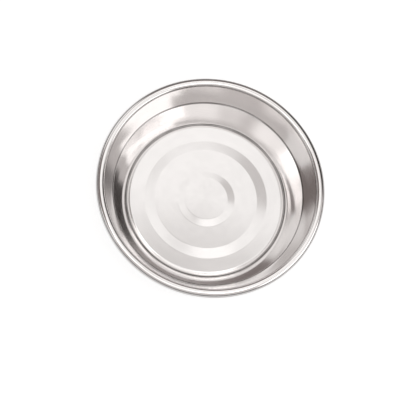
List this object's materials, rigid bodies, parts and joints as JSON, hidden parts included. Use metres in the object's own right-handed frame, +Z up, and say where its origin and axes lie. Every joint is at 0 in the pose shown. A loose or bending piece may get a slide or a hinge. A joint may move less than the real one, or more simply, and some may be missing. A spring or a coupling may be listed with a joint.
{
  "type": "halwa plate",
  "caption": "Round deep serving plate of pressed stainless steel with a stepped base, a flared wall with a narrow ledge and a rolled, wired rim; holds a helping of sweet or snack food.",
  "frame": {"origin": "centre of the foot ring, on the surface that the plate stands on", "axes": "+Z up along the plate's axis; the plate is round, so X and Y are free"},
  "size_m": [0.15, 0.15, 0.0303],
  "materials": {
    "polished_steel": "stainless steel sheet, spun polish with fine circular marks, bright wall and softer base",
    "drawn_wire": "plain drawn steel wire, dull grey"
  },
  "bodies": {
    "root": {"pressed_dish": "polished_steel", "rim_wire": "drawn_wire"}
  },
  "joints": []
}
